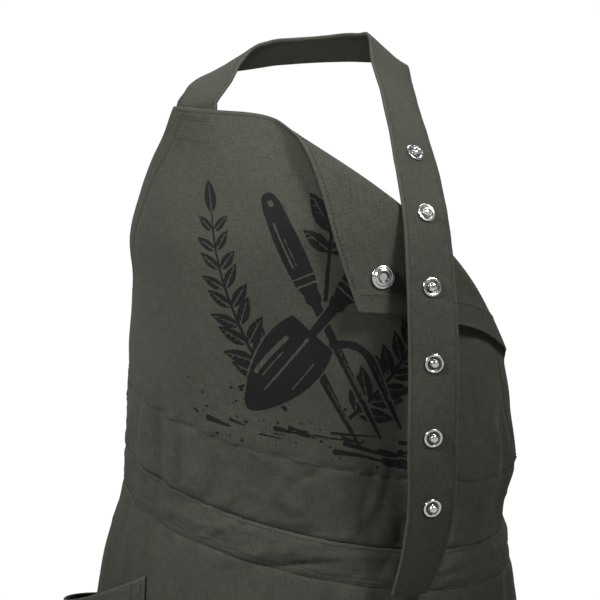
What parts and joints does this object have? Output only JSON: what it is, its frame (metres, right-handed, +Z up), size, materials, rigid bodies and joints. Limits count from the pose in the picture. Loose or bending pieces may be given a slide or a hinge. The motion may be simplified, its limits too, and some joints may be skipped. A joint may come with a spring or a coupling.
{
  "type": "gardening apron",
  "caption": "Bib apron of dark canvas as worn, with one corner of the bib folded forward, a neck strap with open snap studs, a waistband, a skirt and two patch pockets",
  "frame": {"origin": "the inner face of the neck strap at the back of the neck, where the apron hangs on the wearer", "axes": "+Z up along the wearer's body, -Y the way the front of the apron faces, +X to the right of someone looking at the front"},
  "size_m": [0.3514, 0.235, 0.833],
  "materials": {
    "canvas": "plain-woven cotton canvas, matte dark olive grey",
    "strap_canvas": "doubled cotton canvas strap, matte dark olive grey",
    "nickel": "polished nickel plate"
  },
  "bodies": {
    "root": {"bib": "canvas", "waistband": "canvas", "skirt": "canvas", "pocket_left": "canvas", "pocket_right": "canvas", "neck_strap": "strap_canvas", "snap_stud_1": "nickel", "snap_stud_2": "nickel", "snap_stud_3": "nickel", "snap_stud_4": "nickel", "snap_stud_5": "nickel", "snap_stud_6": "nickel", "snap_socket": "nickel", "waist_tie_left": "canvas", "waist_tie_right": "canvas", "tie_knot": "canvas", "tie_tail_left": "canvas", "tie_tail_right": "canvas"}
  },
  "joints": []
}
